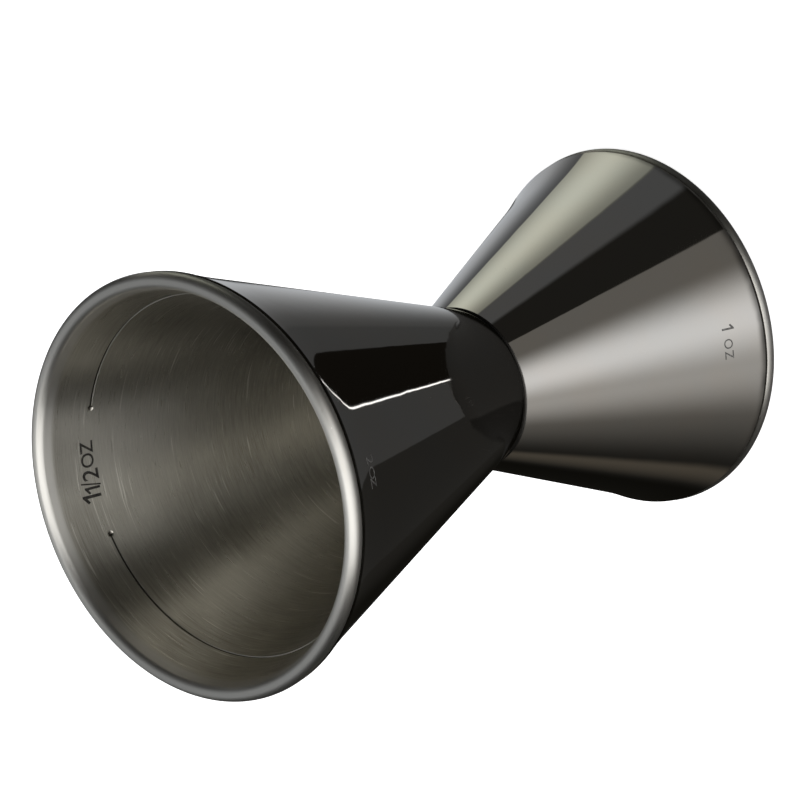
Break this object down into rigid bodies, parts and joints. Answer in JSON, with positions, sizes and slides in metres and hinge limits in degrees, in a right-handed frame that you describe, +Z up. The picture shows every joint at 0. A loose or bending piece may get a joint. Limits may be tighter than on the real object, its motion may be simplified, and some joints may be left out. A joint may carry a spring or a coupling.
{
  "type": "bar jigger",
  "caption": "Double-ended conical bar jigger: large and small double-walled measuring cups joined at a narrow waist, rolled lips, dark mirror outside, brushed inside.",
  "frame": {"origin": "centre of the circle that the small cup's lip stands on, on the jigger's own axis", "axes": "+Z up the jigger's axis from the small cup's mouth to the large cup's mouth; +X towards the side where the shells carry their capacity marks, with the large liner's number on the -X side"},
  "size_m": [0.0582, 0.0582, 0.091],
  "materials": {
    "black_mirror": "mirror-polished stainless steel with a dark gunmetal plating",
    "brushed_liner": "stainless steel brushed round the cup, warm grey gunmetal tone, lip polished bright",
    "braze": "braze metal polished flush and plated with the shells"
  },
  "bodies": {
    "root": {"large_shell": "black_mirror", "large_liner": "brushed_liner", "large_lip_braze": "braze", "small_shell": "black_mirror", "small_liner": "brushed_liner", "small_lip_braze": "braze", "waist_braze": "braze"}
  },
  "joints": []
}
